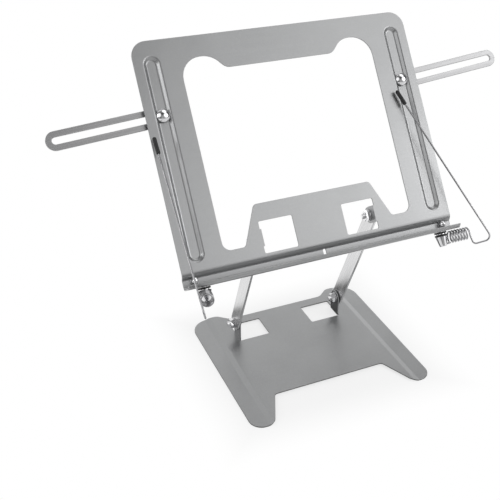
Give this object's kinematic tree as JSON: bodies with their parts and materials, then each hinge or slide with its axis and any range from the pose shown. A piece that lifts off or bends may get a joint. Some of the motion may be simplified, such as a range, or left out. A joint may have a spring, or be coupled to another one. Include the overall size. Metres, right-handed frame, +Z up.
{
  "type": "book stand",
  "caption": "Folding book stand: sheet steel base, pivoted legs, leaning back plate with a ledge, sliding page arms and sprung wire page clips.",
  "frame": {"origin": "centre of the base on the table, midway between the tips of its front feet and its rear lobes", "axes": "+X to the right as the reader sees the stand, +Y to the back, +Z up"},
  "size_m": [0.3525, 0.1405, 0.2369],
  "materials": {
    "paint": "satin grey metallic",
    "steel": "bright",
    "chrome": "polished",
    "rubber": "matt black"
  },
  "bodies": {
    "base": {"base_plate": "paint", "base_pivot_screws": "chrome", "base_pivot_washers": "steel", "base_pivot_nuts": "chrome"},
    "left_leg": {"left_leg": "steel"},
    "right_leg": {"right_leg": "steel"},
    "plate": {"back_plate": "paint", "top_pivot_screws": "chrome", "top_pivot_washers": "steel", "top_pivot_nuts": "chrome", "left_clip_rivet": "chrome", "right_clip_rivet": "chrome"},
    "left_arm_pivot": {"left_arm_rivet": "chrome", "left_arm_washer": "steel"},
    "left_arm": {"left_arm": "steel"},
    "right_arm_pivot": {"right_arm_rivet": "chrome", "right_arm_washer": "steel"},
    "right_arm": {"right_arm": "steel"},
    "left_clip": {"left_clip_pivot": "chrome", "left_clip_rings": "rubber", "left_clip_spring": "steel"},
    "left_wire": {"left_clip_wire": "steel", "left_clip_sleeve": "rubber"},
    "right_clip": {"right_clip_pivot": "chrome", "right_clip_rings": "rubber", "right_clip_spring": "steel"},
    "right_wire": {"right_clip_wire": "steel", "right_clip_sleeve": "rubber"}
  },
  "joints": [
    {"name": "left_leg_pivot", "type": "hinge", "parent": "base", "child": "left_leg", "pos_m": [-0.0459, 0.03575, 0.0156], "axis": [1, 0, 0], "range_deg": [-45, 45]},
    {"name": "right_leg_pivot", "type": "hinge", "parent": "base", "child": "right_leg", "pos_m": [0.0459, 0.03575, 0.0156], "axis": [1, 0, 0], "range_deg": [-45, 45]},
    {"name": "plate_tilt", "type": "hinge", "parent": "left_leg", "child": "plate", "pos_m": [-0.0459, -0.00485, 0.1146], "axis": [1, 0, 0], "range_deg": [-50, 40]},
    {"name": "left_arm_swing", "type": "hinge", "parent": "plate", "child": "left_arm_pivot", "pos_m": [-0.0925, 0.04323, 0.19524], "axis": [0, -0.809, 0.5878], "range_deg": [-90, 90]},
    {"name": "left_arm_slide", "type": "slide", "parent": "left_arm_pivot", "child": "left_arm", "axis": [-0.9976, -0.041, -0.0564], "range_m": [-0.0725, 0.0125]},
    {"name": "left_clip_swivel", "type": "hinge", "parent": "plate", "child": "left_clip", "pos_m": [-0.0925, -0.02631, 0.10089], "axis": [0, 0.5878, 0.809], "range_deg": [0, 90]},
    {"name": "left_wire_swing", "type": "hinge", "parent": "left_clip", "child": "left_wire", "pos_m": [-0.0925, -0.02948, 0.09652], "axis": [-0.2549, -0.8716, 0.4186], "range_deg": [-40, 10], "stiffness_Nm_per_rad": 0.14, "deforming": ["left_clip_spring"]},
    {"name": "right_arm_swing", "type": "hinge", "parent": "plate", "child": "right_arm_pivot", "pos_m": [0.0925, 0.04323, 0.19524], "axis": [0, -0.809, 0.5878], "range_deg": [-90, 90]},
    {"name": "right_arm_slide", "type": "slide", "parent": "right_arm_pivot", "child": "right_arm", "axis": [0.9962, 0.0512, 0.0705], "range_m": [-0.0825, 0.0025]},
    {"name": "right_clip_swivel", "type": "hinge", "parent": "plate", "child": "right_clip", "pos_m": [0.0925, -0.02631, 0.10089], "axis": [0, 0.5878, 0.809], "range_deg": [0, 25]},
    {"name": "right_wire_swing", "type": "hinge", "parent": "right_clip", "child": "right_wire", "pos_m": [0.0925, -0.02948, 0.09652], "axis": [0.9659, -0.2094, 0.1521], "range_deg": [0, 60], "stiffness_Nm_per_rad": 0.14, "springref_deg": -11.46, "deforming": ["right_clip_spring"]}
  ],
  "couplings": [
    {"joint": "right_leg_pivot", "follows": "left_leg_pivot", "ratio": 1}
  ]
}
